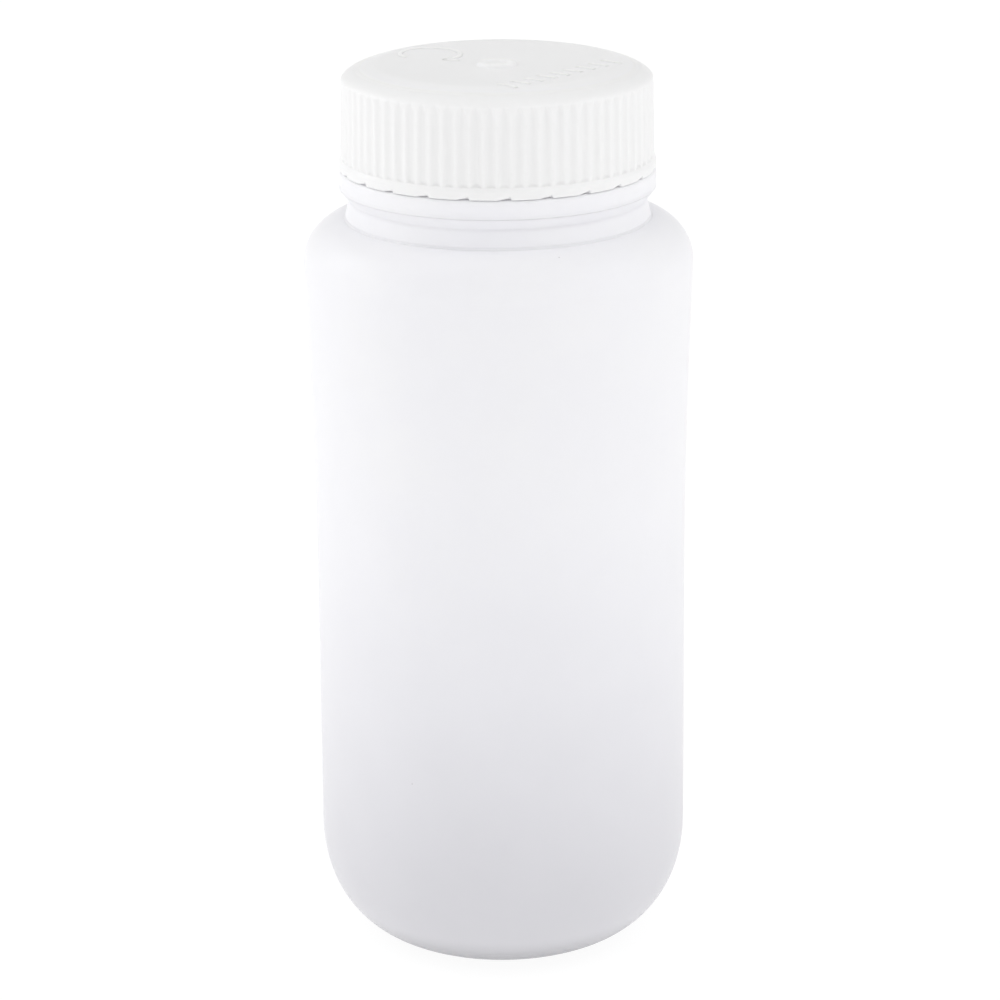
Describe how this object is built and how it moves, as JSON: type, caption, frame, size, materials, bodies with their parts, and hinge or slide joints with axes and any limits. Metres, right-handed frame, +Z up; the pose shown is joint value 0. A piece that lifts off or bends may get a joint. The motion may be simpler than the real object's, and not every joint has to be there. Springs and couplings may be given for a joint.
{
  "type": "reagent bottle",
  "caption": "Wide-mouth translucent plastic laboratory bottle with a fluted screw cap that turns and rises on its thread, and a sealing disc.",
  "frame": {"origin": "centre of the base, on the surface that the bottle stands on", "axes": "+Z up along the axis of the bottle, neck and cap; -Y is the front; +X is to the right seen from the front"},
  "size_m": [0.0726, 0.0726, 0.1702],
  "materials": {
    "bottle_plastic": "fine matt, milky translucent natural polyethylene",
    "cap_plastic": "satin, translucent natural polypropylene",
    "disc_plastic": "soft translucent polyethylene sheet"
  },
  "bodies": {
    "bottle": {"bottle_body": "bottle_plastic"},
    "seal": {"seal_disc": "disc_plastic"},
    "cap": {"screw_cap": "cap_plastic"}
  },
  "joints": [
    {"name": "cap_lift", "type": "slide", "parent": "bottle", "child": "seal", "axis": [0, 0, 1], "range_m": [0, 0.0212]},
    {"name": "cap_turn", "type": "hinge", "parent": "seal", "child": "cap", "pos_m": [0, 0, 0.16], "axis": [0, 0, 1], "range_deg": [0, 1800]}
  ],
  "couplings": [
    {"joint": "cap_lift", "follows": "cap_turn", "m_per_rad": 0.00067376}
  ]
}
